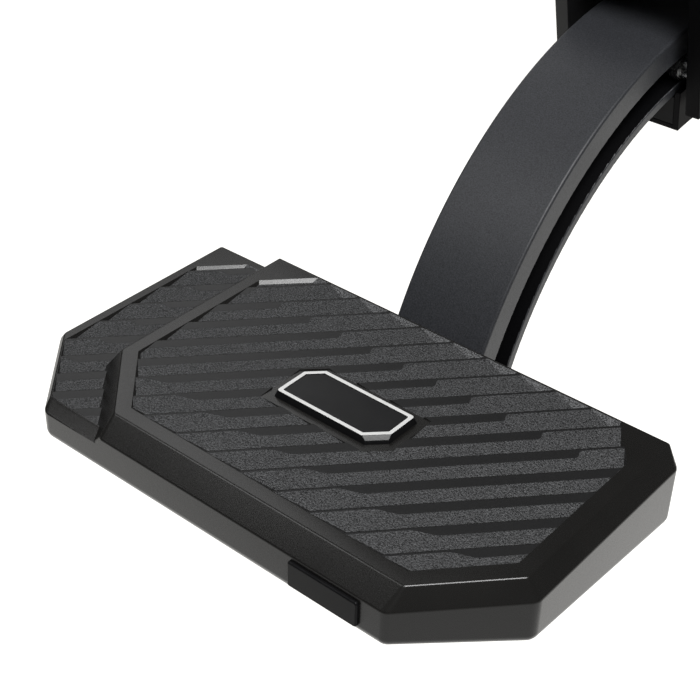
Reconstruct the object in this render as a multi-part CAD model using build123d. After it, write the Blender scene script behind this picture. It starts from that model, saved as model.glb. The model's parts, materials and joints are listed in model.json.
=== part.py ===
from build123d import *
import os
from math import sin, cos, tan, atan, radians, degrees, hypot

os.makedirs("parts", exist_ok=True)

# ---------------------------------------------------------------- dimensions
# Frame: origin in the middle of the mounting plate's top face, +Z up,
# +Y towards the vehicle, X across.  Millimetres.

# curved arm
ARC_Z = -347.5          # height of the arm's centre of curvature, on x axis line y = 0
ARM_R = 299.0           # outer (upper) surface radius
ARM_H = 49.0            # section height
ARM_W = 74.0            # section width
CHORD_H = 20.5          # thick upper chord
LIP_H = 7.5             # thin lower lip
WEB_W = 30.0            # web between the side grooves
ARM_TAIL = -12.5        # angle of the upper end, degrees past the vertical

# guide rollers, two on each side
ROLL_R_AT = 268.0       # radius of the roller axles about the arc centre
ROLL_ANG = 7.5          # axle angle each side of the vertical
ROLL_R = 10.15
ROLL_X0, ROLL_X1 = 29.5, 37.6
SLEEVE_R = 5.5
BOLT_R = 4.0

# housing
WALL_IN = 49.5          # inner face of each side plate
WALL_T = 5.0
FLANGE_OUT = 60.5       # outer edge of the turned front flange
WALL_BOT = -112.0
WALL_FRONT_TOP = -74.2  # y of the front edge under the mounting plate
WALL_FRONT_BOT = -47.2  # y of the front edge at the bottom
PLATE_T = 6.0
PLATE_X, PLATE_Y = 164.0, 140.0
HOLE_X, HOLE_Y, HOLE_R = 138.0, 96.0, 5.5

# saddle under the arm
SAD_IN, SAD_OUT = 38.1, 42.6
SAD_R0, SAD_R1 = 221.7, 226.0
SAD_TOP = 277.0
SAD_LOW = 254.5         # top of the ears beside the front rollers
SAD_ANG = 10.5

# pad, own frame: X along the pad from the main top's back left corner, Y to
# the rear, Z = 0 on the main top face
PAD_AT = (-130.6, -286.5, -198.0)
PAD_L, PAD_D = 320.0, 202.6
CH_X, CH_Y = 46.4, 49.6             # front corner cuts
BEV_DROP = 12.0
BEV_F, BEV_D, BEV_E = 9.6, 13.75, 8.25
STEP_RUN = 9.0                      # slope of the step down to the lower tier
SKIRT_Z = 18.5                      # how deep that slope runs on below the lower tread
TIER_X, TIER_Z = -58.5, -13.9       # lower tier on the left
TIER_FRONT = -207.0
TIER_DROP = 4.0
WALL_LOW_F, WALL_LOW_B = -39.5, -58.0   # underside at front and back
WALL_ROUND = 8.0

# tread: overlapping planks cut into both tops
PITCH_X = 26.9          # plank spacing along X
PLANK_ANG = 47.2        # plank direction in plan
PLANK_D = 2.8           # depth at each plank's low edge
RIDGE_R = 0.9           # rounding of each plank's high edge
LINE_MAIN, LINE_TIER = 180.0, 7.6   # one plank line in each tread, at Y = -4

# pad carrier: a plate against the pad's sloping underside, the arm's foot stands on it
CAR_W, CAR_T = 86.0, 8.0
CAR_Y0, CAR_Y1 = -150.0, 60.0       # from the pad's back wall, along the plate
PADBOLT = ((-30.0, -128.0), (30.0, -128.0), (-30.0, -34.0), (30.0, -34.0))


def save(name, shape):
    export_step(shape, "parts/%s.step" % name)


def group(items):
    out = []
    for it in items:
        out.extend(it.solids())
    return Compound(out)


def polar(a):
    """Frame whose Z runs outward from the arc centre at angle a past vertical."""
    return Location((0, 0, ARC_Z), (a, 0, 0))


def bx(x0, x1, y0, y1, z0, z1):
    return Pos((x0 + x1) / 2, (y0 + y1) / 2, (z0 + z1) / 2) * Box(x1 - x0, y1 - y0, z1 - z0)


def xcyl(r, x0, x1, y, z):
    return Location(((x0 + x1) / 2, y, z), (0, 90, 0)) * Cylinder(r, abs(x1 - x0))


def xhex(af, x0, x1, y, z):
    s = Plane(origin=(min(x0, x1), y, z), x_dir=(0, 1, 0), z_dir=(1, 0, 0)) * RegularPolygon(af / 2, 6, major_radius=False)
    return extrude(s, amount=abs(x1 - x0))


def arc_ring(r0, r1, a0, a1, x0, x1):
    """Curved bar about the arc centre, from angle a0 to a1."""
    s = Plane.XZ * Pos((x0 + x1) / 2, ARC_Z + (r0 + r1) / 2) * Rectangle(x1 - x0, r1 - r0)
    s = Location((0, 0, ARC_Z), (a0, 0, 0)) * Pos(0, 0, -ARC_Z) * s
    return revolve(s, axis=Axis((0, 0, ARC_Z), (1, 0, 0)), revolution_arc=a1 - a0)


def yz_plate(pts, x0, x1):
    s = Plane(origin=(min(x0, x1), 0, 0), x_dir=(0, 1, 0), z_dir=(1, 0, 0)) * Polygon(*pts, align=None)
    return extrude(s, amount=abs(x1 - x0))


def at(r, a):
    """Point (y, z) at radius r, angle a past the vertical, towards the pad."""
    return (-r * sin(radians(a)), ARC_Z + r * cos(radians(a)))


def offset_poly(pts, d):
    """Move each edge of an anticlockwise polygon outward by its own distance."""
    n = len(pts)
    lines = []
    for i in range(n):
        (x0, y0), (x1, y1) = pts[i], pts[(i + 1) % n]
        L = hypot(x1 - x0, y1 - y0)
        nx, ny = (y1 - y0) / L, -(x1 - x0) / L
        lines.append((nx, ny, nx * x0 + ny * y0 + d[i]))
    out = []
    for i in range(n):
        a, b = lines[i - 1], lines[i]
        det = a[0] * b[1] - a[1] * b[0]
        out.append(((a[2] * b[1] - a[1] * b[2]) / det, (a[0] * b[2] - a[2] * b[0]) / det))
    return out


def round_face(pts, radii, z):
    """Polygon with its own radius at every corner, at height z."""
    n = len(pts)
    tang = []
    for i in range(n):
        p = Vector(pts[i][0], pts[i][1], z)
        a = Vector(pts[i - 1][0], pts[i - 1][1], z) - p
        b = Vector(pts[(i + 1) % n][0], pts[(i + 1) % n][1], z) - p
        a, b = a.normalized(), b.normalized()
        half = radians(a.get_angle(b)) / 2
        t = radii[i] / tan(half)
        mid = (a + b).normalized()
        c = p + mid * (radii[i] / sin(half))
        tang.append((p + a * t, c - mid * radii[i], p + b * t))
    edges = []
    for i in range(n):
        t0, m, t1 = tang[i]
        edges.append(ThreePointArc(t0, m, t1))
        edges.append(Line(t1, tang[(i + 1) % n][0]))
    return Face(Wire(edges))


# ================================================================ housing
front = lambda z: WALL_FRONT_TOP + (-PLATE_T - z) * (WALL_FRONT_BOT - WALL_FRONT_TOP) / (-PLATE_T - WALL_BOT)
tail_n = (cos(radians(ARM_TAIL)), sin(radians(ARM_TAIL)))


def rear(z):
    """Rear edge of the side plates, parallel to the arm's end face and ahead of it."""
    y = -(z - ARC_Z) * tan(radians(ARM_TAIL))
    return y - 4.0 / cos(radians(ARM_TAIL))


axles = []
for a in (ROLL_ANG, -ROLL_ANG):
    axles.append(at(ROLL_R_AT, a))

side_plates = {}
for name, s in (("left", -1), ("right", 1)):
    pts = [(front(-PLATE_T), -PLATE_T), (front(WALL_BOT), WALL_BOT), (rear(WALL_BOT), WALL_BOT), (rear(-PLATE_T), -PLATE_T)]
    p = yz_plate(pts, s * WALL_IN, s * (WALL_IN + WALL_T))
    fl = yz_plate([(front(-PLATE_T), -PLATE_T), (front(WALL_BOT), WALL_BOT), (front(WALL_BOT) + WALL_T, WALL_BOT),
                   (front(-PLATE_T) + WALL_T, -PLATE_T)], s * WALL_IN, s * FLANGE_OUT)
    p = p + fl
    for (y, z) in axles:
        p = p - xcyl(4.2, s * (WALL_IN - 2), s * (WALL_IN + WALL_T + 2), y, z)
    side_plates[name] = p
    save("side_plate_" + name, p)

plate = bx(-PLATE_X / 2, PLATE_X / 2, -PLATE_Y / 2, PLATE_Y / 2, -PLATE_T, 0)
plate = fillet(plate.edges().filter_by(Axis.Z), 10)
for sx in (-1, 1):
    for sy in (-1, 1):
        plate = plate - Pos(sx * HOLE_X / 2, sy * HOLE_Y / 2, -PLATE_T / 2) * Cylinder(HOLE_R, PLATE_T * 2)
save("mount_plate", plate)

# rear cross brace: a plate square to the arm, above its upper end
brace = polar(ARM_TAIL) * bx(-WALL_IN, WALL_IN, -12.0, -6.0, ARM_R + 3.0, 331.0)
save("rear_cross_brace", brace)

bumpers = []
for x in (-22.0, 22.0):
    b = polar(ARM_TAIL) * (Location((x, -3.2, 311.5), (90, 0, 0)) * Cylinder(7.0, 5.6))
    bumpers.append(b)
save("stop_bumpers", group(bumpers))

# saddle: curved floor with an ear on each side that the rear axle bolts pass
# through; in front the ears stay below the rollers
floor = arc_ring(SAD_R0, SAD_R1, -SAD_ANG, SAD_ANG, -SAD_OUT, SAD_OUT)
saddle = floor
for s in (-1, 1):
    x0, x1 = min(s * SAD_IN, s * SAD_OUT), max(s * SAD_IN, s * SAD_OUT)
    saddle = saddle + arc_ring(SAD_R1 - 1.0, SAD_LOW, -SAD_ANG, SAD_ANG, x0, x1)
    saddle = saddle + arc_ring(SAD_R1 - 1.0, SAD_TOP, -SAD_ANG, 0.0, x0, x1)
for s in (-1, 1):
    y, z = axles[1]
    saddle = saddle - xcyl(4.2, s * (SAD_IN - 3), s * (SAD_OUT + 3), y, z)
save("saddle_bracket", saddle)

block = arc_ring(SAD_R1, ARM_R - ARM_H - 0.5, -SAD_ANG, SAD_ANG, -SAD_IN, SAD_IN)
save("saddle_block", block)

bolts, spacers, sleeves, washers, nuts = [], [], [], [], []
rollers = {}
for s, side in ((-1, "left"), (1, "right")):
    for (y, z), end in zip(axles, ("front", "rear")):
        head = xhex(13.0, s * (WALL_IN + WALL_T), s * (WALL_IN + WALL_T + 5.3), y, z)
        shank = xcyl(BOLT_R, s * (WALL_IN + WALL_T + 1), s * 18.6, y, z)
        bolts.append(head + shank)
        x_in = SAD_IN if end == "front" else SAD_OUT
        spacers.append(xcyl(8.0, s * x_in, s * WALL_IN, y, z) - xcyl(4.1, s * (x_in - 1), s * (WALL_IN + 1), y, z))
        sleeves.append(xcyl(SLEEVE_R, s * 29.2, s * SAD_IN, y, z) - xcyl(4.1, s * 28, s * (SAD_IN + 1), y, z))
        washers.append(xcyl(8.0, s * 27.2, s * 29.2, y, z) - xcyl(4.2, s * 26, s * 30, y, z))
        nuts.append(xhex(13.0, s * 20.7, s * 27.2, y, z) - xcyl(4.1, s * 20, s * 28, y, z))
        roll = xcyl(ROLL_R, s * ROLL_X0, s * ROLL_X1, y, z)
        roll = chamfer(roll.edges().filter_by(GeomType.CIRCLE), 0.8)
        roll = roll - xcyl(SLEEVE_R + 0.06, s * (ROLL_X0 - 1), s * (ROLL_X1 + 1), y, z)
        rollers[end + "_" + side] = roll
        save("guide_roller_%s_%s" % (end, side), roll)
save("axle_bolts", group(bolts))
save("axle_spacers", group(spacers))
save("roller_sleeves", group(sleeves))
save("axle_washers", group(washers))
save("axle_nuts", group(nuts))

# the pad's underside plane: rises from the back wall to the front wall
PAD_FRONT = -(PAD_D + BEV_D)
SLOPE = degrees(atan((WALL_LOW_F - WALL_LOW_B) / PAD_FRONT))
UNDER = Location((0, PAD_AT[1], PAD_AT[2] + WALL_LOW_B), (SLOPE, 0, 0))

# ================================================================ curved arm
r_top, r_bot = ARM_R, ARM_R - ARM_H
r_chord, r_lip = ARM_R - CHORD_H, ARM_R - ARM_H + LIP_H
h = ARM_W / 2
w = WEB_W / 2
prof = [(-h, r_top), (-h, r_chord), (-w, r_chord), (-w, r_lip), (-h, r_lip), (-h, r_bot),
        (h, r_bot), (h, r_lip), (w, r_lip), (w, r_chord), (h, r_chord), (h, r_top)]
sec = Polygon(*prof, align=None)
tops = [v for v in sec.vertices() if abs(v.Y - r_top) < 1e-6]
sec = fillet(tops, 2.2)
small = [v for v in sec.vertices() if abs(abs(v.X) - h) < 1e-6 and v.Y < r_top - 5]
sec = fillet(small, 1.0)
inner = [v for v in sec.vertices() if abs(abs(v.X) - w) < 1e-6]
sec = fillet(inner, 2.0)
face = Plane(origin=(0, 0, ARC_Z), x_dir=(1, 0, 0), z_dir=(0, -1, 0)) * sec
face = Location((0, 0, ARC_Z), (ARM_TAIL, 0, 0)) * Pos(0, 0, -ARC_Z) * face
arm = revolve(face, axis=Axis((0, 0, ARC_Z), (1, 0, 0)), revolution_arc=72 - ARM_TAIL)
arm = arm - UNDER * bx(-80, 80, -80, 120, -200, 0)
screw_at = ((0.0, 288.5), (-26.0, 288.5), (26.0, 288.5))
for (x, r) in screw_at:
    arm = arm - polar(ARM_TAIL) * (Location((x, -9.0, r), (90, 0, 0)) * Cylinder(3.0, 19.0))
save("curved_arm", arm)

stop = polar(ARM_TAIL) * bx(-36.0, 36.0, 0.0, 5.0, r_bot + 1.5, 320.0)
stop = fillet(stop.edges().filter_by(lambda e: abs(e.length - 5.0) < 1e-3), 4.0)
screws = []
for (x, r) in screw_at:
    stop = stop - polar(ARM_TAIL) * (Location((x, 2.5, r), (90, 0, 0)) * Cylinder(3.3, 12.0))
    head = Location((x, 7.0, r), (90, 0, 0)) * Cylinder(5.0, 4.0)
    shank = Location((x, -5.0, r), (90, 0, 0)) * Cylinder(2.95, 24.0)
    socket = Location((x, 8.2, r), (90, 0, 0)) * extrude(RegularPolygon(2.5, 6, major_radius=False), amount=1.6, both=True)
    screws.append(polar(ARM_TAIL) * ((head + shank) - socket))
save("tail_stop_plate", stop)
save("stop_plate_screws", group(screws))

# ================================================================ pad carrier
carrier = bx(-CAR_W / 2, CAR_W / 2, CAR_Y0, CAR_Y1, -CAR_T, 0)
carrier = fillet(carrier.edges().filter_by(Axis.Z), 8)
for (x, y) in PADBOLT:
    carrier = carrier - Pos(x, y, -CAR_T / 2) * Cylinder(5.5, CAR_T * 2)
save("carrier_plate", UNDER * carrier)

pad_bolts, pad_washers = [], []
for (x, y) in PADBOLT:
    pad_washers.append(UNDER * Pos(x, y, -CAR_T - 1.0) * (Cylinder(10.0, 2.0) - Cylinder(5.3, 4.0)))
    head = extrude(Pos(x, y, -CAR_T - 2.0 - 6.4) * RegularPolygon(8.0, 6, major_radius=False), amount=6.4)
    head = head + Pos(x, y, (14.0 - CAR_T - 3.0) / 2) * Cylinder(5.0, 14.0 + CAR_T + 3.0)
    pad_bolts.append(UNDER * head)
save("pad_bolts", group(pad_bolts))
save("pad_bolt_washers", group(pad_washers))

# ================================================================ step pad
main_top = [(0, 0), (0, -(PAD_D - CH_Y)), (CH_X, -PAD_D), (PAD_L - CH_X, -PAD_D), (PAD_L, -(PAD_D - CH_Y)), (PAD_L, 0)]
main_low = offset_poly(main_top, [STEP_RUN, STEP_RUN, BEV_D, BEV_E, BEV_F, 0.0])
r_hi = [1.0, 4.0, 4.0, 3.0, 3.0, 2.0]
r_lo = [1.0, 6.0, 6.0, 8.0, 10.0, 8.0]
upper = loft([round_face(main_low, r_lo, -BEV_DROP), round_face(main_top, r_hi, 0.0)], ruled=True)
skirt_low = offset_poly(main_top, [STEP_RUN * SKIRT_Z / BEV_DROP, STEP_RUN * SKIRT_Z / BEV_DROP, BEV_D, BEV_E, BEV_F, 0.0])
skirt = loft([round_face(skirt_low, r_lo, -SKIRT_Z), round_face(main_low, r_lo, -BEV_DROP)], ruled=True)

tier_top = [(TIER_X, 0), (TIER_X, -153.0), (TIER_X - 4.0 + (-TIER_FRONT - 153.0) / CH_Y * CH_X + 2.0, TIER_FRONT), (150.0, TIER_FRONT), (150.0, 0)]
tier_low = offset_poly(tier_top, [3.0, 3.0, PAD_D + BEV_D + TIER_FRONT, 0.0, 0.0])
t_hi = [2.0, 6.0, 6.0, 1.0, 1.0]
t_lo = [2.0, 9.0, 9.0, 1.0, 1.0]
tier = loft([round_face(tier_low, t_lo, TIER_Z - TIER_DROP), round_face(tier_top, t_hi, TIER_Z)], ruled=True)

base_out = [tier_low[0], tier_low[1], tier_low[2], main_low[3], main_low[4], main_low[5]]
base = extrude(round_face(base_out, [2.0, 9.0, 9.0, 8.0, 10.0, 8.0], TIER_Z - TIER_DROP), amount=-60.0, dir=(0, 0, 1))
y_front = base_out[2][1]
low = lambda y: WALL_LOW_B + y * (WALL_LOW_F - WALL_LOW_B) / y_front
wedge = Plane(origin=(-200, 0, 0), x_dir=(0, 1, 0), z_dir=(1, 0, 0)) * Polygon(
    (y_front - 20, -150), (20, -150), (20, low(20)), (y_front - 20, low(y_front - 20)), align=None)
base = base - extrude(wedge, amount=700, dir=(1, 0, 0))
under = base.faces().sort_by(Axis.Z)[0]
base = fillet(under.edges(), WALL_ROUND)
pad = base + upper + skirt + tier

# underside pockets between stiffening ribs, kept clear of the carrier and its bosses
inset = offset_poly(base_out, [-6.0, -6.0, -6.0, -6.0, -6.0, -6.0])
core = extrude(Face(Wire(Polyline(*[(x, y, -70.0) for x, y in inset], close=True).edges())), amount=66.0)
# outside the main top the pockets stay below the lower tier
under_main = offset_poly(main_top, [-3.0] * 6)
under_main = extrude(Face(Wire(Polyline(*[(x, y, -40.0) for x, y in under_main], close=True).edges())), amount=60.0)
skin = bx(-80.0, 360.0, -240.0, 20.0, TIER_Z - 7.0, 10.0) - under_main
rib = 4.5
bosses = [(x - PAD_AT[0], y * cos(radians(SLOPE))) for x, y in PADBOLT]
pockets = []
nx = 8
x_start = inset[0][0]
cw = (inset[4][0] - x_start - rib * (nx - 1)) / nx
ch = (-inset[2][1] - 6.0 - rib * 3) / 4
for i in range(nx):
    for j in range(4):
        x0 = x_start + i * (cw + rib)
        y1 = -6.0 - j * (ch + rib)
        top = -8.5 if x0 > 4 else TIER_Z - 7.0
        pk = bx(x0, x0 + cw, y1 - ch, y1, -80, top) & core
        pk = pk - skin
        for (bx0, by0) in bosses:
            pk = pk - Pos(bx0, by0, -40) * Cylinder(11.0, 100)
        for sd in pk.solids():
            if sd.volume > 200:
                pockets.append(sd)
pad = pad - pockets
for (x, y) in PADBOLT:
    pad = pad - Pos(-PAD_AT[0], -PAD_AT[1], -PAD_AT[2]) * UNDER * Pos(x, y, 7.5) * Cylinder(5.05, 15.4)

# tread planks: each one starts level with the rim and falls to its low edge
u = (cos(radians(PLANK_ANG)), sin(radians(PLANK_ANG)))
n = (u[1], -u[0])
wide = PITCH_X * n[0]


def ridge(x):
    """Rounded high edge of a plank, from its riser to its sloping top."""
    m = PLANK_D / wide
    zc = -RIDGE_R * (hypot(1, m) + m)
    a1 = degrees(atan(1 / m))
    out = []
    for k in range(5):
        a = radians(180 + (a1 - 180) * k / 4)
        out.append((x + RIDGE_R + RIDGE_R * cos(a), zc + RIDGE_R * sin(a)))
    return out


def tread(outline, inset_d, z0, line):
    up = [0.5 / PLANK_D * -d for d in inset_d]
    hi = offset_poly(outline, up)
    lo = offset_poly(outline, [d * 1.1 for d in inset_d])
    f_hi = Face(Wire(Polyline(*[(x, y, z0 + 0.5) for x, y in hi], close=True).edges()))
    f_lo = Face(Wire(Polyline(*[(x, y, z0 - PLANK_D * 1.1) for x, y in lo], close=True).edges()))
    bowl = loft([f_lo, f_hi], ruled=True)
    first, last = -12, 12
    pts = []
    for i in range(first, last):
        pts.extend(ridge(i * wide))
        pts.append(((i + 1) * wide, -PLANK_D))
    pts.append((last * wide, 3.0))
    pts.append((first * wide, 3.0))
    pl = Plane(origin=(line, -4.0, z0), x_dir=(n[0], n[1], 0), z_dir=(-u[0], -u[1], 0))
    saw = extrude(pl * Polygon(*pts, align=None), amount=450, both=True)
    return (saw & bowl).solids()


main_tread = [(9.5, -32.0), (9.5, -147.5), (51.0, -192.5), (268.0, -192.5), (310.0, -147.0), (310.0, -34.0), (285.9, -2.0), (38.0, -2.0)]
tier_tread = [(-52.0, -33.0), (-52.0, -158.7), (-9.4, -206.2), (60.0, -206.2), (60.0, -6.3), (-26.8, -6.3)]
cuts = list(tread(main_tread, [-2.0, -2.0, -4.5, -2.0, -2.0, -2.2, -6.0, -3.3], 0.0, LINE_MAIN))
for t in tread(tier_tread, [-2.0, -1.0, -0.8, 0.0, -5.0, -3.3], TIER_Z, LINE_TIER):
    cuts.extend((t - skirt - upper).solids())
pad = pad - cuts

# flat seat for the top badge, above the planks' low edges
BG_X0, BG_X1, BG_Y0, BG_Y1 = 106.7, 191.7, -123.6, -84.5
BG_CUT = 11.0
BG_TOP, SEAT_Z = 3.6, -1.2
BG_SIDE, BG_FACET = 1.6, 3.6       # side slope, and the wider facet on the upper half of the front right corner


def badge_poly(g, cut):
    return [(BG_X0 - g, BG_Y1 + g - cut), (BG_X0 - g, BG_Y0 - g), (BG_X1 + g - cut, BG_Y0 - g), (BG_X1 + g, BG_Y0 - g + cut),
            (BG_X1 + g, BG_Y1 + g), (BG_X0 - g + cut, BG_Y1 + g)]


seat = Face(Wire(Polyline(*[(x, y, SEAT_Z) for x, y in badge_poly(5.6, BG_CUT + 2.5)], close=True).edges()))
pad = pad + extrude(seat, amount=2.5, dir=(0, 0, -1))
pad = pad - extrude(seat, amount=6.0, dir=(0, 0, 1))
pad = pad.solids().sort_by(SortBy.VOLUME)[-1]
move = Pos(*PAD_AT)
save("step_pad", move * pad)

rb = [1.2, 2.0, 1.2, 1.2, 2.0, 1.2]
foot = badge_poly(0, BG_CUT)
crest = offset_poly(foot, [-BG_SIDE, -BG_SIDE, -BG_FACET, -BG_SIDE, -BG_SIDE, -BG_SIDE])
waist = offset_poly(foot, [-BG_SIDE / 2] * 6)
waist_z = (SEAT_Z + BG_TOP) / 2
badge = loft([round_face(foot, rb, SEAT_Z), round_face(waist, rb, waist_z)], ruled=True)
badge = badge + loft([round_face(waist, rb, waist_z), round_face(crest, rb, BG_TOP)], ruled=True)
border = 2.8
panel = offset_poly(crest, [-border] * 6)
panel = round_face(panel, [0.8, 1.2, 0.8, 0.8, 1.2, 0.8], BG_TOP + 1.0)
badge = badge - extrude(panel, amount=-1.5, dir=(0, 0, 1))
save("top_badge", move * badge)

# blank plate on the front wall
FB_X0, FB_X1, FB_Z0, FB_Z1 = 203.5, 254.5, -33.0, -14.5
fb = bx(FB_X0, FB_X1, y_front - 2.4, y_front, FB_Z0, FB_Z1)
fb = fillet(fb.edges().filter_by(Axis.Y), 2.0)
fb = chamfer(fb.faces().sort_by(Axis.Y)[0].edges(), 0.8)
save("front_badge", move * fb)
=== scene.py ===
import json
import math
import bpy
import bmesh
from mathutils import Matrix, Vector

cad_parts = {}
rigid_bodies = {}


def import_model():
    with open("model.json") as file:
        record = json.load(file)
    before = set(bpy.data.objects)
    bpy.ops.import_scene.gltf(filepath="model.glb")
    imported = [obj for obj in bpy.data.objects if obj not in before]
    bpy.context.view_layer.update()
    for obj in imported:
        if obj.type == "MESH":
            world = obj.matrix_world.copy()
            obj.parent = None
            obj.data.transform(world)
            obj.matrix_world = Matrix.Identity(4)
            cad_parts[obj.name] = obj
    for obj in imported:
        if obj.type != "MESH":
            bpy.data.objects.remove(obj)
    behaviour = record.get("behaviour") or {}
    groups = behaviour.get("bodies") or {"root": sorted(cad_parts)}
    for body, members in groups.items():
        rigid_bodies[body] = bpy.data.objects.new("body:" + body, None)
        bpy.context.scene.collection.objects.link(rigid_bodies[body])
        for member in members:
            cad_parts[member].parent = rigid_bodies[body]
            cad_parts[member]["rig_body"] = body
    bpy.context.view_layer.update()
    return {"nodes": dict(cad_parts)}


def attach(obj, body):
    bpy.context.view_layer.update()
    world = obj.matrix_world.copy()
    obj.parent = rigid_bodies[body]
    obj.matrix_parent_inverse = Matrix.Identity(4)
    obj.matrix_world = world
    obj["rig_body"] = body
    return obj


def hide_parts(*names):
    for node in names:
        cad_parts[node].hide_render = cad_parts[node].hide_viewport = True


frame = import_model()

nodes = frame["nodes"]
MM = 0.001


# ------------------------------------------------------------------ node helpers
class Mat:
    """A small builder for a procedural material on one principled shader."""

    def __init__(self, name):
        self.m = bpy.data.materials.new(name)
        self.m.use_nodes = True
        self.t = self.m.node_tree
        self.t.nodes.clear()
        self.out = self.t.nodes.new("ShaderNodeOutputMaterial")
        self.p = self.t.nodes.new("ShaderNodeBsdfPrincipled")
        self.t.links.new(self.p.outputs[0], self.out.inputs["Surface"])
        self.co = self.t.nodes.new("ShaderNodeTexCoord").outputs["Object"]

    def set(self, **kw):
        for k, v in kw.items():
            self.p.inputs[k.replace("_", " ")].default_value = v
        return self

    def link(self, a, b):
        self.t.links.new(a, b)

    def noise(self, scale, detail=2.0, rough=0.5, co=None, dist=0.0):
        n = self.t.nodes.new("ShaderNodeTexNoise")
        n.inputs["Scale"].default_value = scale
        n.inputs["Detail"].default_value = detail
        n.inputs["Roughness"].default_value = rough
        n.inputs["Distortion"].default_value = dist
        self.link(co or self.co, n.inputs["Vector"])
        return n.outputs["Fac"]

    def voronoi(self, scale, feature="F1", out="Distance", co=None, rand=1.0):
        n = self.t.nodes.new("ShaderNodeTexVoronoi")
        n.feature = feature
        n.inputs["Scale"].default_value = scale
        n.inputs["Randomness"].default_value = rand
        self.link(co or self.co, n.inputs["Vector"])
        return n.outputs[out]

    def stretch(self, sx, sy, sz):
        n = self.t.nodes.new("ShaderNodeMapping")
        n.inputs["Scale"].default_value = (sx, sy, sz)
        self.link(self.co, n.inputs["Vector"])
        return n.outputs[0]

    def ramp(self, fac, stops, interp="LINEAR"):
        n = self.t.nodes.new("ShaderNodeValToRGB")
        n.color_ramp.interpolation = interp
        e = n.color_ramp.elements
        while len(e) < len(stops):
            e.new(0.5)
        for i, (pos, c) in enumerate(stops):
            e[i].position = pos
            e[i].color = (c, c, c, 1) if not isinstance(c, tuple) else (*c, 1)
        self.link(fac, n.inputs["Fac"])
        return n.outputs["Color"]

    def remap(self, fac, a, b, c, d):
        n = self.t.nodes.new("ShaderNodeMapRange")
        for i, v in zip(("From Min", "From Max", "To Min", "To Max"), (a, b, c, d)):
            n.inputs[i].default_value = v
        self.link(fac, n.inputs["Value"])
        return n.outputs["Result"]

    def smooth(self, v, a, b):
        """Soft step from 0 at a to 1 at b."""
        n = self.t.nodes.new("ShaderNodeMapRange")
        n.interpolation_type = "SMOOTHSTEP"
        if a < b:
            n.inputs["From Min"].default_value, n.inputs["From Max"].default_value = a, b
            n.inputs["To Min"].default_value, n.inputs["To Max"].default_value = 0.0, 1.0
        else:
            n.inputs["From Min"].default_value, n.inputs["From Max"].default_value = b, a
            n.inputs["To Min"].default_value, n.inputs["To Max"].default_value = 1.0, 0.0
        self.link(v, n.inputs["Value"])
        return n.outputs["Result"]

    def math(self, op, a, b):
        n = self.t.nodes.new("ShaderNodeMath")
        n.operation = op
        for i, v in enumerate((a, b)):
            if isinstance(v, (int, float)):
                n.inputs[i].default_value = v
            else:
                self.link(v, n.inputs[i])
        return n.outputs[0]

    def mix(self, fac, a, b):
        n = self.t.nodes.new("ShaderNodeMix")
        n.data_type = "RGBA"
        for i, v in ((6, a), (7, b)):
            if isinstance(v, tuple):
                n.inputs[i].default_value = (*v, 1)
            else:
                self.link(v, n.inputs[i])
        if isinstance(fac, (int, float)):
            n.inputs[0].default_value = fac
        else:
            self.link(fac, n.inputs[0])
        return n.outputs[2]

    def wear(self, lo, hi):
        """1 on worn convex edges, 0 elsewhere."""
        g = self.t.nodes.new("ShaderNodeNewGeometry")
        return self.remap(g.outputs["Pointiness"], lo, hi, 0.0, 1.0)

    def color(self, sock):
        self.link(sock, self.p.inputs["Base Color"])
        return self

    def rough(self, sock):
        self.link(sock, self.p.inputs["Roughness"])
        return self

    def bump(self, layers):
        """layers: (height socket, strength, distance in metres), fine ones last."""
        last = None
        for h, s, d in layers:
            n = self.t.nodes.new("ShaderNodeBump")
            n.inputs["Strength"].default_value = s
            n.inputs["Distance"].default_value = d
            self.link(h, n.inputs["Height"])
            if last is not None:
                self.link(last, n.inputs["Normal"])
            last = n.outputs["Normal"]
        self.link(last, self.p.inputs["Normal"])
        return self


# ------------------------------------------------------------------ materials
def satin_pad():
    """Moulded rim, bevels and walls: satin black with a very fine spark-eroded grain."""
    m = Mat("pad_satin")
    cloud = m.noise(9.0, 3.0, 0.6)
    grain = m.noise(2600.0, 2.0, 0.6)
    m.color(m.mix(m.remap(cloud, 0.3, 0.7, 0.0, 1.0), (0.0098, 0.0094, 0.0088), (0.0134, 0.0129, 0.0121)))
    m.rough(m.math("ADD", m.remap(cloud, 0.25, 0.75, 0.25, 0.30), m.remap(grain, 0.3, 0.7, -0.03, 0.03)))
    m.bump([(m.noise(130.0, 2.0, 0.5), 0.05, 0.0004), (grain, 0.16, 0.00006)])
    m.set(Specular_IOR_Level=0.5)
    return m.m


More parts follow.
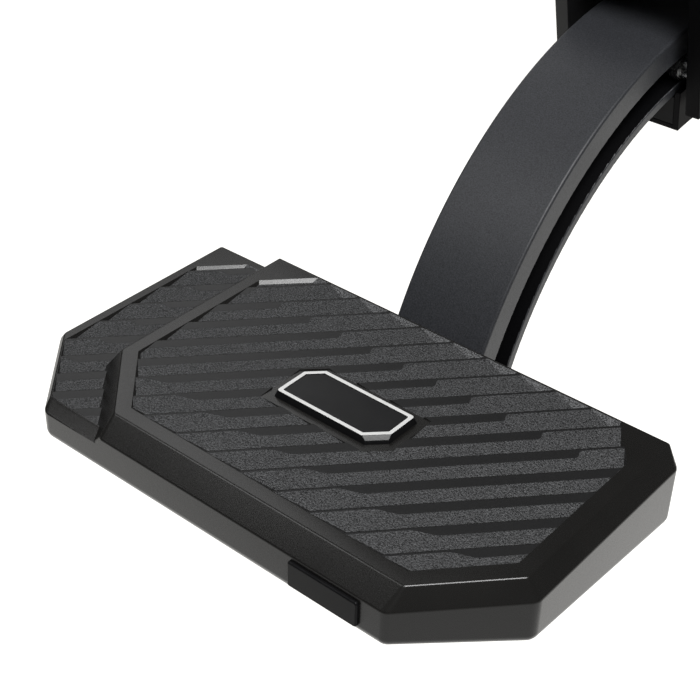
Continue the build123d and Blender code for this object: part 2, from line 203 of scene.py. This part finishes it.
def tread_pad(name, line, z0, y0, y1, x0, gain=1.0):
    """Planks: coarse cast grit whose small facets carry painted glints as bright speckles in the colour, smooth along
    each high edge.
    The smooth band widens to a strip between y0 and y1, and right of x0, in metres. gain scales the colour up, which is
    a painted highlight where it is above 1."""
    m = Mat(name)
    sep = m.t.nodes.new("ShaderNodeSeparateXYZ")
    m.link(m.co, sep.inputs[0])
    x, y = sep.outputs[0], sep.outputs[1]
    run = m.math("ADD", m.math("MULTIPLY", m.math("SUBTRACT", x, line), 0.73373),
                 m.math("MULTIPLY", m.math("SUBTRACT", y, z0), -0.67944))
    pos = m.math("FLOORED_MODULO", run, 0.0269 * 0.73373)
    ends = m.math("MULTIPLY", m.smooth(y, y0, y0 + 0.009), m.smooth(y, y1 + 0.008, y1))
    ends = m.math("MULTIPLY", ends, m.smooth(x, x0 - 0.008, x0 + 0.004))
    width = m.remap(ends, 0.0, 1.0, 0.0023, 0.0077)
    strip = m.smooth(m.math("SUBTRACT", width, pos), -0.0003, 0.0003)

    grit = m.noise(1080.0, 3.0, 0.70)
    cell = m.voronoi(860.0)
    fine = m.noise(3000.0, 2.0, 0.6)
    cloud = m.noise(14.0, 3.0, 0.6)
    h = m.math("ADD", m.math("MULTIPLY", grit, 0.65), m.math("MULTIPLY", cell, -0.45))
    # the bright speckles on the grit are painted glints of its small facets
    base = m.mix(m.ramp(grit, ((0.42, 0.0), (0.60, 1.0))), (0.005 * gain, 0.0051 * gain, 0.0054 * gain), (0.092 * gain, 0.0935 * gain, 0.0965 * gain))
    base = m.mix(m.remap(cloud, 0.3, 0.7, 0.0, 0.25), base, (0.020, 0.0205, 0.0215))
    m.color(m.mix(strip, base, (0.011, 0.011, 0.0112)))
    gr = m.remap(fine, 0.25, 0.75, 0.36, 0.56)
    m.rough(m.math("ADD", gr, m.math("MULTIPLY", strip, -0.08)))
    keep = m.math("SUBTRACT", 1.0, strip)
    m.bump([(m.math("MULTIPLY", h, keep), 1.0, 0.0009), (m.math("MULTIPLY", fine, keep), 0.35, 0.00016)])
    m.set(Specular_IOR_Level=0.5)
    return m.m


def powder_coat(name, lo, hi, rough, grain=1500.0, depth=0.00012, spec=0.5):
    """Fine-textured powder coat."""
    m = Mat(name)
    peel = m.noise(grain, 2.0, 0.55)
    fine = m.noise(grain * 2.6, 2.0, 0.6)
    cloud = m.noise(7.0, 3.0, 0.6)
    base = m.mix(m.remap(peel, 0.34, 0.68, 0.0, 1.0), lo, hi)
    base = m.mix(m.remap(cloud, 0.35, 0.7, 0.0, 0.25), base, lo)
    m.color(base)
    m.rough(m.math("ADD", m.remap(fine, 0.3, 0.7, rough - 0.05, rough + 0.06), m.remap(cloud, 0.3, 0.7, -0.03, 0.03)))
    m.bump([(m.noise(60.0, 2.0, 0.5), 0.04, 0.0006), (peel, 0.34, depth), (fine, 0.18, depth * 0.5)])
    m.set(Specular_IOR_Level=spec)
    return m.m


def zinc():
    """Bright zinc plate with a faint brushed, cloudy finish."""
    m = Mat("zinc_plate")
    cloud = m.noise(160.0, 4.0, 0.65)
    line = m.noise(900.0, 2.0, 0.5, co=m.stretch(0.12, 1.0, 1.0))
    m.color(m.mix(m.remap(cloud, 0.3, 0.7, 0.0, 1.0), (0.60, 0.61, 0.62), (0.80, 0.80, 0.79)))
    m.rough(m.remap(cloud, 0.25, 0.75, 0.20, 0.36))
    m.bump([(line, 0.12, 0.00006)])
    m.set(Metallic=1.0)
    return m.m


def steel():
    """Ground roller steel with fine turning lines."""
    m = Mat("roller_steel")
    cloud = m.noise(120.0, 3.0, 0.6)
    line = m.noise(1400.0, 2.0, 0.5, co=m.stretch(1.0, 0.08, 0.08))
    m.color(m.mix(m.remap(cloud, 0.3, 0.7, 0.0, 1.0), (0.62, 0.62, 0.62), (0.78, 0.78, 0.77)))
    m.rough(m.remap(line, 0.3, 0.7, 0.18, 0.34))
    m.bump([(line, 0.18, 0.00005)])
    m.set(Metallic=1.0)
    return m.m


def plastic(name, lo, hi, rough, grain=900.0, spec=0.5):
    m = Mat(name)
    cloud = m.noise(40.0, 3.0, 0.6)
    g = m.noise(grain, 2.0, 0.6)
    m.color(m.mix(m.remap(cloud, 0.3, 0.7, 0.0, 1.0), lo, hi))
    m.rough(m.remap(g, 0.3, 0.7, rough - 0.05, rough + 0.05))
    m.bump([(g, 0.15, 0.00008)])
    m.set(Specular_IOR_Level=spec)
    return m.m


def badge_black(name, spec):
    m = Mat(name)
    cloud = m.noise(55.0, 3.0, 0.6)
    g = m.noise(2400.0, 2.0, 0.6)
    m.color(m.mix(m.remap(cloud, 0.3, 0.7, 0.0, 1.0), (0.004, 0.004, 0.0045), (0.007, 0.007, 0.0075)))
    m.rough(m.remap(g, 0.3, 0.7, 0.34, 0.44))
    m.set(Specular_IOR_Level=spec)
    m.bump([(g, 0.12, 0.00005)])
    return m.m


def badge_border():
    """Pale painted border on the raised edge."""
    m = Mat("badge_border")
    cloud = m.noise(120.0, 3.0, 0.6)
    g = m.noise(2600.0, 2.0, 0.6)
    m.color(m.mix(m.remap(cloud, 0.3, 0.7, 0.0, 1.0), (0.66, 0.66, 0.65), (0.76, 0.76, 0.755)))
    m.rough(m.remap(g, 0.3, 0.7, 0.30, 0.42))
    m.bump([(g, 0.10, 0.00005)])
    return m.m


M_SATIN = satin_pad()
# plank lines, in the part's frame: one plank line of each tread, its level, and where its strips end
M_TREAD = tread_pad("pad_tread", 0.0494, -0.2905, -0.4525, -0.3355, -1.0)
# same tread brightened 1.9 times: a painted highlight on the slopes down from the back rim
M_TREAD_HIGHLIGHT = tread_pad("pad_tread_end_painted_highlight", 0.0494, -0.2905, -0.4525, -0.3355, -1.0, 1.9)
M_TIER = tread_pad("pad_tread_tier", -0.1230, -0.2905, -1.0, 1.0, -0.1606)
M_ARM = powder_coat("arm_powder_coat", (0.017, 0.0180, 0.0208), (0.046, 0.0482, 0.0545), 0.46, 1150.0, 0.00016)
M_BRACKET = powder_coat("bracket_powder_coat", (0.004, 0.004, 0.0044), (0.008, 0.008, 0.0086), 0.50, 1300.0, 0.0001, 0.28)
# darker copy of the bracket coat: painted shade on the shadowed right side plate and saddle bracket
M_BRACKET_SHADE = powder_coat("bracket_coat_painted_shade", (0.0014, 0.0014, 0.0018), (0.0030, 0.0030, 0.0035), 0.50, 1300.0, 0.0001, 0.05)
# near-black copy of the arm coat: painted shade inside the arm's side groove
M_GROOVE_SHADE = powder_coat("arm_groove_painted_shade", (0.002, 0.002, 0.0024), (0.004, 0.004, 0.0046), 0.55, 1300.0, 0.0001, 0.08)
M_ZINC = zinc()
M_STEEL = steel()
# black plastic, darkened further as painted shade inside the housing
M_SLIDER_SHADE = plastic("slider_block_painted_shade", (0.003, 0.003, 0.0034), (0.006, 0.006, 0.0064), 0.50, spec=0.10)
M_RUBBER = plastic("bumper_rubber", (0.010, 0.010, 0.010), (0.018, 0.018, 0.018), 0.72, 1500.0)
M_BLACK, M_PLATE, M_BORDER = badge_black("badge_black", 0.36), badge_black("badge_plate", 0.14), badge_border()


# ------------------------------------------------------------------ geometry helpers
def inside(poly, x, y):
    hit = False
    for i in range(len(poly)):
        (x0, y0), (x1, y1) = poly[i - 1], poly[i]
        if (y0 > y) != (y1 > y) and x < (x1 - x0) * (y - y0) / (y1 - y0) + x0:
            hit = not hit
    return hit


def sound(bm):
    """True when the triangles of every face fill just its own outline."""
    bm.faces.index_update()
    got = {}
    for tri in bm.calc_loop_triangles():
        a, b, c = (l.vert.co for l in tri)
        k = tri[0].face.index
        got[k] = got.get(k, 0.0) + (b - a).cross(c - a).length / 2
    return all(abs(got.get(f.index, 0.0) - f.calc_area()) < 0.02 * f.calc_area() + 2e-6 for f in bm.faces)


def soften(node, mats, pick, passes, flat=(), careful=None):
    """A copy of a CAD node with rounded edges that stands in its place.
    pick(face) gives the material index; passes are (edge test, radius in mm, segments).
    A rounding that leaves a broken face is made again with a smaller radius, the last try is the plain copy."""
    src = nodes[node]
    for part, skip in ((1.0, None), (1.0, careful), (0.6, None), (0.6, careful), (0.35, None), (0.35, careful), (0.0, None)):
        bm = bmesh.new()
        bm.from_mesh(src.data)
        bmesh.ops.remove_doubles(bm, verts=bm.verts, dist=2e-6)
        if part:
            bmesh.ops.dissolve_limit(bm, angle_limit=math.radians(0.15), verts=bm.verts, edges=bm.edges)
            bmesh.ops.dissolve_degenerate(bm, dist=2e-6, edges=bm.edges)
        bm.normal_update()
        for f in bm.faces:
            f.material_index = pick(f)
        for test, radius, seg in (passes if part else ()):
            es = [e for e in bm.edges if len(e.link_faces) == 2 and test(e) and not (skip and skip(e))]
            if es:
                bmesh.ops.bevel(bm, geom=es, offset=radius * part * MM, offset_type="OFFSET", segments=seg, profile=0.5,
                                affect="EDGES", clamp_overlap=False, loop_slide=True, miter_outer="SHARP", material=-1)
                bm.normal_update()
        if not part or sound(bm):
            break
        bm.free()
    for f in bm.faces:
        f.smooth = f.material_index not in flat
    for e in bm.edges:
        e.smooth = not (len(e.link_faces) == 2 and e.calc_face_angle(0.0) > math.radians(32))
    me = bpy.data.meshes.new(node + "_look")
    bm.to_mesh(me)
    bm.free()
    for m in mats:
        me.materials.append(m)
    ob = bpy.data.objects.new(node + "_look", me)
    bpy.context.scene.collection.objects.link(ob)
    w = ob.modifiers.new("weighted", "WEIGHTED_NORMAL")
    w.keep_sharp = True
    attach(ob, src["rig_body"])
    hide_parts(node)
    return ob


def convex(e, deg):
    return e.is_convex and e.calc_face_angle(0.0) > math.radians(deg)


def paint(node, mat):
    o = nodes[node]
    o.data.materials.clear()
    o.data.materials.append(mat)


# ------------------------------------------------------------------ step pad
PAD_AT = Vector((-130.6, -286.5, -198.0))
MAIN = [(8.6, -31.7), (8.6, -147.9), (50.7, -193.3), (268.4, -193.3), (310.9, -147.3), (310.9, -33.7), (286.4, -1.2), (37.6, -1.2)]
TIER = [(-52.8, -32.7), (-52.8, -158.4), (-10.0, -206.7), (40.0, -206.7), (-9.6, -155.0), (-9.6, -5.4), (-27.2, -5.4)]
PLANK_N = Vector((0.1031, -0.0955, 0.9901)).normalized()


def pad_local(v):
    return v / MM - PAD_AT


def in_tread(p):
    if inside(MAIN, p.x, p.y):
        return -4.0 < p.z < 0.6
    if inside(TIER, p.x, p.y):
        return -18.0 < p.z < -13.3
    return False


def pad_pick(f):
    c = pad_local(f.calc_center_median())
    if not in_tread(c):
        return 0
    up = f.normal.dot(PLANK_N)
    if up > 0.9994:
        return 1 if inside(MAIN, c.x, c.y) and c.z > -6 else 2
    # slopes down from the back rim get the brightened tread, a painted highlight
    if f.normal.z > 0.84 and f.normal.y < -0.25 and abs(f.normal.x) < 0.15:
        return 4
    if f.normal.z > 0.5 and f.normal.x > 0.3 and f.normal.y < -0.2 and f.normal.z < 0.95:
        return 3
    return 0


def mid(e):
    return pad_local((e.verts[0].co + e.verts[1].co) / 2)


def at_step_foot(e):
    """Edges where the step's foot runs into the front bevel."""
    p = Vector((44.0, -212.0, -14.5))
    return min((pad_local(v.co) - p).length for v in e.verts) < 15.0


pad = soften("step_pad", [M_SATIN, M_TREAD, M_TIER, M_SATIN, M_TREAD_HIGHLIGHT], pad_pick, [
    (lambda e: convex(e, 12) and not in_tread(mid(e)) and mid(e).z > -25, 0.9, 3),
], flat=(1, 2, 3, 4), careful=at_step_foot)


# ------------------------------------------------------------------ badges
def top_pick(f):
    c = pad_local(f.calc_center_median())
    return 1 if f.normal.z > 0.99 and c.z > 3.4 else 0


soften("top_badge", [M_BLACK, M_BORDER], top_pick, [(lambda e: convex(e, 25), 0.3, 2)])
soften("front_badge", [M_PLATE], lambda f: 0, [(lambda e: convex(e, 25), 0.3, 2)])

# ------------------------------------------------------------------ bracket plates
# side_plate_right and saddle_bracket take the darker coat, painted shade
for n, r, mat in (("side_plate_left", 0.7, M_BRACKET), ("side_plate_right", 0.7, M_BRACKET_SHADE), ("mount_plate", 0.6, M_BRACKET),
                  ("rear_cross_brace", 0.5, M_BRACKET), ("saddle_bracket", 0.6, M_BRACKET_SHADE), ("tail_stop_plate", 0.5, M_BRACKET),
                  ("carrier_plate", 0.6, M_BRACKET)):
    soften(n, [mat], lambda f: 0, [(lambda e: convex(e, 40), r, 2)])
soften("saddle_block", [M_SLIDER_SHADE], lambda f: 0, [(lambda e: convex(e, 40), 0.8, 2)])

# ------------------------------------------------------------------ carried-over pieces
paint("curved_arm", M_ARM)
arm = nodes["curved_arm"].data
arm.materials.append(M_GROOVE_SHADE)
# faces inside the side groove get the near-black coat, painted shade in the recess
ARC = Vector((0, 0, -347.5))
for p in arm.polygons:
    c = Vector(p.center) / MM
    r = (Vector((0, c.y, c.z)) - ARC).length
    if abs(c.x) < 36.3 and 256.5 < r < 278.9 and abs(p.normal.x) * 37.0 < 37.1:
        p.material_index = 1
for n in ("axle_bolts", "axle_spacers", "roller_sleeves", "axle_washers", "axle_nuts", "stop_plate_screws", "pad_bolts", "pad_bolt_washers"):
    paint(n, M_ZINC)
for n in ("guide_roller_front_left", "guide_roller_front_right", "guide_roller_rear_left", "guide_roller_rear_right"):
    paint(n, M_STEEL)
paint("stop_bumpers", M_RUBBER)


# ------------------------------------------------------------------ stage, light and camera
def floor():
    m = Mat("floor_paper_painted_falloff")
    n = m.noise(1.2, 2.0, 0.5)
    m.color(m.mix(m.remap(n, 0.3, 0.7, 0.0, 1.0), (0.60, 0.60, 0.60), (0.63, 0.63, 0.63)))
    sep = m.t.nodes.new("ShaderNodeSeparateXYZ")
    m.link(m.co, sep.inputs[0])
    x, y = sep.outputs[0], sep.outputs[1]
    # the floor glows to stay white; near and far fade that glow as painted shade towards the front right and far off
    s = m.math("SUBTRACT", m.math("MULTIPLY", x, 0.6), m.math("MULTIPLY", y, 0.8))
    dx, dy = m.math("ADD", x, 0.70), m.math("SUBTRACT", y, 0.45)
    r = m.math("SQRT", m.math("ADD", m.math("MULTIPLY", dx, dx), m.math("MULTIPLY", dy, dy)), 0.0)
    near = m.remap(m.smooth(s, 0.20, 0.72), 0.0, 1.0, 1.0, 0.26)
    far = m.remap(m.smooth(r, 1.55, 2.6), 0.0, 1.0, 1.0, 0.40)
    m.link(m.math("MULTIPLY", m.math("MINIMUM", near, far), 1.02), m.p.inputs["Emission Strength"])
    m.set(Roughness=0.9, Emission_Color=(1.0, 0.985, 0.945, 1))
    bm = bmesh.new()
    bmesh.ops.create_grid(bm, x_segments=8, y_segments=8, size=9.0)
    me = bpy.data.meshes.new("floor")
    bm.to_mesh(me)
    bm.free()
    me.materials.append(m.m)
    o = bpy.data.objects.new("floor", me)
    o.location = (0, 0, -0.80)
    bpy.context.scene.collection.objects.link(o)


floor()

TARGET = Vector((0.03, -0.36, -0.17))


def softbox(name, direction, distance, size, power, color=(1, 1, 1), size_y=None):
    d = Vector(direction).normalized()
    l = bpy.data.lights.new(name, "AREA")
    l.shape = "RECTANGLE"
    l.size = size
    l.size_y = size_y or size
    l.energy = power
    l.color = color
    o = bpy.data.objects.new(name, l)
    o.location = TARGET + d * distance
    o.rotation_mode = "QUATERNION"
    o.rotation_quaternion = d.to_track_quat("Z", "Y")
    bpy.context.scene.collection.objects.link(o)
    return o


softbox("key", (0.42, -0.22, 0.88), 1.8, 0.75, 34.0)
softbox("back", (-0.64, 0.40, 0.65), 1.7, 0.78, 2.9)
softbox("arm", (-0.52, -0.40, 0.76), 1.8, 0.7, 5.0)

world = bpy.data.worlds.new("studio")
world.use_nodes = True
bg = world.node_tree.nodes["Background"]
bg.inputs[0].default_value = (0.96, 0.98, 1.0, 1)
bg.inputs[1].default_value = 0.035
bpy.context.scene.world = world

cam = bpy.data.cameras.new("camera")
cam.sensor_width = 36.0
cam.lens = 74.77
cam.clip_start, cam.clip_end = 0.02, 50.0
co = bpy.data.objects.new("camera", cam)
fwd = Vector((-0.5157, 0.6338, -0.5764)).normalized()
right = Vector((0.7757, 0.6311, 0.0)).normalized()
up = right.cross(fwd).normalized()
roll = math.radians(1.557)
rx = right * math.cos(roll) + up * math.sin(roll)
uy = up * math.cos(roll) - right * math.sin(roll)
co.matrix_world = Matrix((
    (rx.x, uy.x, -fwd.x, 0.47306),
    (rx.y, uy.y, -fwd.y, -0.94577),
    (rx.z, uy.z, -fwd.z, 0.35200),
    (0, 0, 0, 1)))
bpy.context.scene.collection.objects.link(co)
bpy.context.scene.camera = co
bpy.context.scene.view_settings.view_transform = "Standard"
